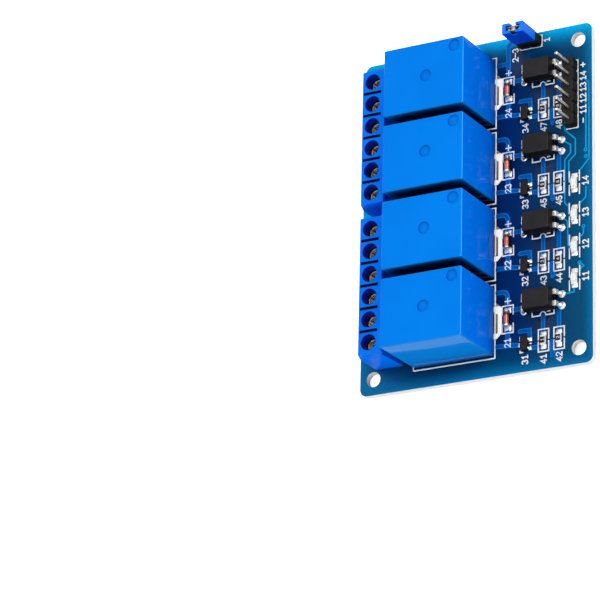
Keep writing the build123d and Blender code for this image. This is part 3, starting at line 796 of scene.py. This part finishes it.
def make_indicator_leds():
    """Chip LEDs: a white base, a clear domed lens and a metal cap at each end."""
    base_height, cap_reach, half_cap = 0.4, 1.17, 0.24
    ends, lenses = [], []
    for number, centre in zip(CHANNELS, led_centres):
        low, high = corners(f"indicator_led_{number}")
        base = rounded_box(low, (high[0], high[1], low[2] + base_height), 0.04, 2)
        sheet_piece(f"led_{number}", base, led_white, (f"indicator_led_{number}",))
        lenses += rounded_box(low + (0.04, 0.25, 0.3), high - (0.04, 0.25, 0), 0.14)
        for end in (centre[1] - cap_reach, centre[1] + cap_reach):
            ends += rounded_box((low[0], end - half_cap, low[2]), (high[0], end + half_cap, low[2] + 0.42),
                                0.06, 2)
    sheet_piece("led_lenses", lenses, led_lens)
    sheet_piece("led_caps", ends, tin, ("indicator_led_ends",))


def pad_pair(x, y, reach, size):
    """Two pads of one size, a reach below and above a spot along the board."""
    return [((x, y - reach), size), ((x, y + reach), size)]


def make_pads():
    """Tinned pads under the surface parts of the top face."""
    foot, foot_size = 1.15, (1.0, 0.9)
    pads = []
    for y in channel_ys:
        for x in (base_resistor_x, led_resistor_x):
            pads += pad_pair(x, y + resistor_shift, 1.34, (1.32, 1.2))
        pads += pad_pair(diode_centres[0][0], y, 1.93, (1.7, 1.3))
        tx = transistor_centres[0][0]
        ty = y + transistor_centres[0][1] - channel_ys[0]
        pads += [((tx - foot, ty), foot_size), *pad_pair(tx + foot, ty, 0.97, foot_size)]
    for centre in led_centres:
        pads += pad_pair(centre[0], centre[1], 1.55, (1.45, 1.15))
    mound = [(inset, TOP + rise) for inset, rise in ((0, 0), (0, 0.03), (0.12, 0.06), (0.28, 0.14))]
    sheet_piece("surface_pads", [slab(spot, size, mound, 0.3) for spot, size in pads], solder_metal)


# Printed legend and copper

def arc(cx, cy, rx, ry, first, last, steps=7):
    """Points on an ellipse between two angles in degrees."""
    angle = np.radians(np.linspace(first, last, steps))
    return list(zip(cx + rx * np.cos(angle), cy + ry * np.sin(angle)))


# Strokes of each mark in a cell 0.6 wide and 1 high
MARKS = {
    "1": ([(0.08, 0.76), (0.32, 1.0), (0.32, 0.0)], [(0.1, 0.0), (0.54, 0.0)]),
    "2": (arc(0.3, 0.72, 0.28, 0.28, 165, -35) + [(0.02, 0.0), (0.6, 0.0)],),
    "3": (arc(0.27, 0.75, 0.28, 0.25, 150, -90) + arc(0.27, 0.25, 0.32, 0.26, 80, -155),),
    "4": ([(0.46, 0.0), (0.46, 1.0), (0.0, 0.3), (0.62, 0.3)],),
    "5": ([(0.54, 1.0), (0.1, 1.0), (0.06, 0.56)] + arc(0.28, 0.32, 0.31, 0.32, 110, -150),),
    "6": (arc(0.34, 0.62, 0.32, 0.38, 60, 180, 5) + arc(0.3, 0.3, 0.29, 0.3, 180, 540, 11),),
    "7": ([(0.0, 1.0), (0.6, 1.0), (0.22, 0.0)],),
    "8": (arc(0.3, 0.76, 0.24, 0.24, -90, 270, 10), arc(0.3, 0.27, 0.29, 0.27, 90, 450, 11)),
    "+": ([(0.3, 0.85), (0.3, 0.15)], [(-0.05, 0.5), (0.65, 0.5)]),
    "-": ([(-0.05, 0.5), (0.65, 0.5)],),
}


def number_strokes(text, centre, height=TEXT_HEIGHT, spacing=0.85):
    """Stroke paths of a mark or number that runs up the board, its middle at centre."""
    paths = []
    span = (len(text) - 1) * spacing + 0.6
    for position, mark in enumerate(text):
        for stroke in MARKS[mark]:
            u, v = np.array(stroke).T
            along = (u + position * spacing - span / 2) * height
            paths.append(np.column_stack([centre[0] - (v - 0.5) * height, centre[1] + along]))
    return paths


def box_path(low_x, low_y, high_x, high_y):
    """The four sides of a rectangle, ending where they began."""
    return [(low_x, low_y), (high_x, low_y), (high_x, high_y), (low_x, high_y), (low_x, low_y)]


def open_box(low_x, low_y, high_x, high_y, gap):
    """A rectangle whose two long sides are open in the middle."""
    mid = (low_y + high_y) / 2
    return [
        [(low_x, mid + gap), (low_x, high_y), (high_x, high_y), (high_x, mid + gap)],
        [(low_x, mid - gap), (low_x, low_y), (high_x, low_y), (high_x, mid - gap)],
    ]


def legend_of_channel(number, y):
    """Printed outlines of one channel, with plain numbers by its parts."""
    relay_low, relay_high = corners(f"relay_{number}")
    dx, ox, tx = diode_centres[0][0], opto_centres[0][0], transistor_centres[0][0]
    paths = [box_path(relay_low[0] - 0.05, y - 8.1, relay_high[0] + 0.12, y + 8.1)]
    paths += open_box(dx - 1.35, y - 3.0, dx + 1.25, y + 3.0, 1.02)
    paths += [[(dx, y + 3.4), (dx, y + 4.6)], [(dx - 0.62, y + 4.0), (dx + 0.62, y + 4.0)]]
    notch = arc(ox, y - 0.32, 0.66, 0.78, 180, 0, 9)
    left, right = ox - 2.5, ox + 2.55
    paths.append([(left, y + 5.0), (left, y - 0.32), *notch, (right, y - 0.32), (right, y + 5.0)])
    paths.append([(ox + 1.0, y + 0.42), (ox + 1.6, y + 0.42)])
    for x in (base_resistor_x, led_resistor_x):
        middle_y = y + resistor_shift
        paths += open_box(x - 1.19, middle_y - 2.42, x + 1.19, middle_y + 2.42, 0.28)
    paths.append([(tx - 1.1, y - 7.45), (tx - 1.1, y - 7.78), (tx - 0.45, y - 7.78)])
    paths += [[(tx + 1.2, y - 6.08), (tx + 1.45, y - 6.08)], [(tx - 1.1, y - 5.2), (tx - 1.1, y - 4.45)]]
    labels = ((f"2{number}", dx - 0.05, 5.2), (f"3{number}", tx, 9.42),
              (f"4{2 * number - 1}", base_resistor_x, 9.9), (f"4{2 * number}", led_resistor_x, 9.9))
    text = []
    for label, x, drop in labels:
        text += number_strokes(label, (x, y - drop))
    return paths, text


def make_legend():
    """White print: outlines, polarity marks and plain numbers, as raised ribbons of ink."""
    paths, text = [], []
    for number, y in zip(CHANNELS, channel_ys):
        outlines, labels = legend_of_channel(number, y)
        paths += outlines
        text += labels
    for number, centre in zip(CHANNELS, led_centres):
        for x in (centre[0] - 1.19, centre[0] + 1.14):
            paths.append([(x, centre[1] + 0.4), (x, centre[1] + 2.6)])
            paths.append([(x, centre[1] - 2.6), (x, centre[1] - 0.4)])
        text += number_strokes(f"1{number}", (centre[0] + 2.5, centre[1] + 0.1))
    left, bottom = header_low[:2] - 0.05
    right, top = header_high[0], header_high[1] + 0.05
    tick = header_high[1] - 2.5
    paths.append([(left, bottom), (right, bottom), (right, top), (left, top)])
    paths.append([(right - 0.5, tick), (right, tick)])
    paths.append(box_path(*jumper_low[:2], *jumper_high[:2]))
    for y, label in zip(pole_ys(header_low[1], header_high[1]), ("-", "11", "12", "13", "14", "+")):
        text += number_strokes(label, (right + 1.2, y))
    text += number_strokes("2-3", (jumper_low[0] - 1.2, jumper_low[1] - 0.9))
    text += number_strokes("1", (jumper_high[0] + 1.15, jumper_high[1] - 1.3))
    sheets = stacked(paths, INK_WIDTH, COPPER + INK) + stacked(text, TEXT_WIDTH, COPPER + INK)
    sheet_piece("printed_legend", sheets, legend_ink)


def stacked(paths, width, rise):
    """Ribbons on the board's top face, each a hair higher than the last, so that no two tops coincide."""
    return [ribbon(path, width, TOP, TOP + rise + HAIR * (k % 16)) for k, path in enumerate(paths)]


def make_copper():
    """Masked copper on the top face: wide tracks of each channel, thin tracks to the LEDs, small vias and
    darker patches below the optocouplers and beside the jumper, partly copper pours and partly painted shade."""
    rail_x, via_drop = 18.02, 9.4
    wide = []
    for y in channel_ys:
        wide += [
            [(4.5, y - 5.7), (7.6, y - 5.8), (10.5, y - 6.1)],
            [(7.6, y - 2.2), (7.6, y - 5.7)],
            [(8.5, y + 1.88), (11.4, y + 1.9)],
            [(10.5, y - 3.1), (12.7, y - 3.15), (12.8, y - 5.0)],
            [(15.84, y + 0.2), (15.84, y - 4.0)],
            [(19.9, y + 1.0), (19.49, y + 0.4), (19.49, y - 4.2)],
            [(12.9, y - 7.05), (15.6, y - 7.1)],
        ]
    wide.append([(rail_x, channel_ys[0] - 6.4), (rail_x, -35.1), (19.5, -35.0)])
    wide += [[(rail_x, y - 6.4), (rail_x, y - 9.3)] for y in channel_ys[1:]]
    for y in channel_ys[:3]:
        wide.append([(4.5, y + 6.15), (6.5, y + 6.2), (7.15, y + 5.95), (7.5, y + 5.4), (7.62, y + 4.6),
                     (7.62, y + 2.2)])
    y = channel_ys[3]
    wide += [
        [(4.5, y + 6.15), (7.3, y + 6.2)],
        [(7.62, y + 2.2), (7.55, y + 10.2), (8.3, y + 11.1), (10.6, y + 11.1)],
    ]
    thin = [
        [(20.84, 15.6), (20.84, 14.3), (23.3, 11.9), (23.3, 8.45), (21.76, 7.1), (21.76, 3.4), (22.4, 2.9)],
        [(20.6, 11.9), (22.2, 10.75), (22.2, 8.95), (20.83, 7.55), (20.83, -2.1), (21.7, -3.0), (21.72, -4.6),
         (22.5, -5.5)],
        [(25.1, 25.6), (26.45, 24.15), (26.45, 6.95), (24.4, 4.7), (23.6, 3.7)],
        [(25.72, 22.0), (25.72, 9.4)],
        [(25.72, 0.7), (25.72, -0.2), (25.6, -1.65), (24.2, -2.9), (23.5, -3.6)],
        [(20.2, -5.2), (20.72, -5.67), (21.45, -6.3), (21.57, -11.65), (22.3, -12.6)],
        [(25.14, -8.2), (25.08, -9.58), (24.3, -10.3), (23.4, -10.6)],
        [(24.35, -16.0), (25.15, -16.66), (24.2, -17.5), (23.4, -17.6)],
        [(22.99, -20.9), (22.92, -22.1), (20.4, -22.25)],
    ]
    lip = COPPER + 0.04
    via = [(0.16, 0), (0.16, lip - 0.01), (0.24, lip), (0.38, lip), (0.45, 0), (0.16, 0)]
    sheets = stacked(wide, WIDE_TRACE, COPPER - 0.01)
    sheets += [turned(via, (rail_x, y - via_drop, TOP), 2, 24) for y in channel_ys[1:]]
    sheet_piece("wide_track_edges", sheets, trace_edge_mask)
    sheet_piece("wide_tracks", stacked(wide, WIDE_TRACE - 0.36, COPPER + 0.01), trace_mask)
    via_spots = ((25.65, 9.03), (25.72, 7.56), (25.14, -7.98), (24.2, -15.89))
    sheets = stacked(thin, THIN_TRACE, COPPER)
    sheets += [turned(via, (*spot, TOP), 2, 24) for spot in via_spots]
    sheet_piece("thin_tracks", sheets, thin_trace_mask)
    film = [(0, TOP), (0, TOP + 0.012), (0.02, TOP + 0.02)]
    pours = [slab((15.9, y - 2.2), (4.6, 3.4), film, 0.1) for y in channel_ys]
    pours.append(slab((9.9, 31.2), (3.4, 8.6), film, 0.1))
    sheet_piece("copper_pours_and_shade", pours, shade_mask)


def solder_cones(kind):
    """Middle x and y, foot radius and height of each solder cone of one kind under the board. Each cone's
    points are gathered by walking along its edges."""
    work = bmesh.new()
    work.from_mesh(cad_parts[f"{kind}_solder_joints"].data)
    bmesh.ops.remove_doubles(work, verts=work.verts, dist=1e-6)
    left, cones = dict.fromkeys(work.verts), []
    while left:
        reached, points = [next(iter(left))], []
        while reached:
            vert = reached.pop()
            if vert in left:
                del left[vert]
                points.append(vert.co[:])
                reached += [edge.other_vert(vert) for edge in vert.link_edges]
        points = np.array(points) / MM
        low, high = points.min(0), points.max(0)
        x, y = (low[:2] + high[:2]) / 2
        cones.append((x, y, (high[1] - low[1]) / 2, high[2] - low[2]))
    work.free()
    return cones


def make_solder_joints():
    """Smooth fillets under the board in place of the plain cones."""
    for kind, cones in CONES.items():
        sheets = []
        for x, y, foot, height in cones:
            profile = [(r, -z) for r, z in solder_profile(foot, foot * 0.42, height, 0.04)]
            sheets.append(turned(profile, (x, y, UNDER), 2, 24))
        sheet_piece(f"{kind}_solder_fillets", sheets, solder_metal, (f"{kind}_solder_joints",))


def make_underside():
    """Tinned lands round the joints under the board, and the masked tracks that join them: wide ones from
    the relays' contacts to the terminals, narrow ones to the small parts."""
    power_width, signal_width = 2.9, 0.7
    lands = []
    for kind, margin in (("relay", 0.55), ("terminal", 0.45), ("header", 0.2), ("optocoupler", 0.2)):
        for x, y, foot, _ in CONES[kind]:
            radius = foot + margin
            land = [(0, 0), (radius, 0), (radius, -0.03), (radius - 0.06, -0.06), (0, -0.06)]
            lands.append(turned(land, (x, y, UNDER), 2, 36))
    poles = sorted({round(float(y), 3) for _, y, _, _ in CONES["terminal"]})
    pole_x = CONES["terminal"][0][0]
    contact_x, coil_x, common_x = (relay_centres[0][0] + shift for shift in (-7.1, 5.1, 7.1))
    power, signal = [], []
    for k, y in enumerate(channel_ys):
        starts = ((contact_x, y - 6, 2.6), (common_x, y, 2.2), (contact_x, y + 6, 2.6))
        for (x, row, bend), pole in zip(starts, poles[3 * k:3 * k + 3]):
            power.append([(x, row), (contact_x - bend, row), (pole_x + 1.4, pole), (pole_x, pole)])
        signal += [
            [(coil_x, y - 6), (7.2, y - 6), (8.2, y - 7), (11.4, y - 7)],
            [(coil_x, y + 6), (coil_x + 3.4, y + 6), (coil_x + 3.4, y + 8.0), (8.8, y + 8.0)],
            [(11.4, y + 1.1), (13.2, y + 1.1), (14.6, y - 0.4), (14.6, y - 3.4)],
            [(20.2, y + 3.6), (18.6, y + 3.6), (17.6, y + 2.6), (17.6, y - 5.6)],
        ]
    via = [(0.16, 0), (0.16, -0.07), (0.3, -0.08), (0.5, -0.08), (0.58, 0), (0.16, 0)]
    lands += [turned(via, (*path[-1], UNDER), 2, 24) for path in signal]
    sheet_piece("under_lands", lands, solder_metal)
    for name, paths, width in (("wide", power, power_width), ("thin", signal, signal_width)):
        sheets = [ribbon(path, width, UNDER, UNDER - COPPER - HAIR * k) for k, path in enumerate(paths)]
        sheet_piece(f"under_{name}_tracks", sheets, trace_mask)


def dress(node, material):
    """Give a node that stays in view its material."""
    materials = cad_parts[node].data.materials
    materials.clear()
    materials.append(material)


CONES = {kind: solder_cones(kind) for kind in ("relay", "terminal", "header", "optocoupler")}

dress("pcb", board_mask)
make_relay_cases()
make_terminal_blocks()
make_headers()
make_optos()
make_diodes()
make_transistors()
make_resistors()
make_indicator_leds()
make_pads()
make_copper()
make_legend()
make_solder_joints()
make_underside()
for number in CHANNELS:
    dress(f"relay_{number}_pins", tin)
for block in ("lower", "upper"):
    dress(f"{block}_terminal_cages", tin)
    dress(f"{block}_terminal_pins", tin)


# Floor, light and camera

FLOOR_REACH = 3.0
LAMP_REACH = 0.7


def seen_or_mirrored(tree):
    """1 for rays from the camera or off a glossy surface, and 0 for the rest."""
    path = add_node(tree, "LightPath").outputs
    return maths(tree, "MAXIMUM", path["Is Camera Ray"], path["Is Glossy Ray"])


def make_floor():
    """A pale floor under the lowest solder joint; the camera sees it near white, with the shadow kept."""
    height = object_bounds()[0][2]
    square = ((-1, -1), (1, -1), (1, 1), (-1, 1))
    mesh = bpy.data.meshes.new("floor")
    mesh.from_pydata([(x * FLOOR_REACH, y * FLOOR_REACH, height) for x, y in square], [], [(0, 1, 2, 3)])
    material, tree, shader = new_material("floor_white", shine=0.0, Roughness=0.9, Emission_Color=WHITE,
                                          Base_Color=(0.82, 0.82, 0.82, 1))
    glow = maths(tree, "MULTIPLY", seen_or_mirrored(tree), 0.8)
    tree.links.new(glow, shader.inputs["Emission Strength"])
    mesh.materials.append(material)
    add_object("floor", mesh)


def add_lamp(name, direction, size, share, mirrored=False):
    """A square soft lamp, LAMP_REACH from the object in a direction. Its share is the part of its written
    brightness that a surface facing the lamp gets: power = share x pi squared x reach squared."""
    lamp = bpy.data.lights.new(name, "AREA")
    lamp.shape = "SQUARE"
    lamp.size = size
    lamp.energy = share * (math.pi * LAMP_REACH) ** 2
    holder = add_object(name, lamp)
    holder.location = Vector(direction).normalized() * LAMP_REACH
    holder.rotation_euler = Vector(direction).to_track_quat("Z", "Y").to_euler()
    holder.visible_glossy = mirrored


def make_world(strength):
    """Even white surroundings: full white where seen or reflected, softer as light on the object."""
    world = bpy.data.worlds.new("studio")
    scene.world = world
    world.use_nodes = True
    tree = world.node_tree
    back = tree.nodes["Background"]
    back.inputs["Color"].default_value = WHITE
    tree.links.new(ramp(tree, seen_or_mirrored(tree), 0.0, 1.0, strength, 1.0), back.inputs["Strength"])


def make_camera():
    """The photograph's view: a long lens, turned about its axis so that the board's long side runs up the
    picture."""
    data = bpy.data.cameras.new("camera")
    data.sensor_width = 36.0
    data.lens = 216.0
    data.clip_start = 0.01
    data.clip_end = 10.0
    camera = add_object("camera", data)
    stand = Vector((327.31, -274.94, 632.36))
    aim = Vector((-43.45, -12.93, 0.0))
    roll = math.radians(-58.71)
    turn = (aim - stand).to_track_quat("-Z", "Y").to_matrix() @ Matrix.Rotation(roll, 3, "Z")
    camera.matrix_world = Matrix.Translation(stand * MM) @ turn.to_4x4()
    scene.camera = camera


scene.view_settings.view_transform = "Standard"
make_floor()
make_world(0.1)
add_lamp("key", (0.05, -0.12, 0.99), 0.35, 0.41, mirrored=True)
add_lamp("side", (0.78, 0.34, 0.53), 0.3, 0.46, mirrored=True)
add_lamp("front", (0.2, -0.88, 0.43), 0.35, 0.44)
add_lamp("back", (-0.72, 0.56, 0.41), 0.4, 0.32)
make_camera()
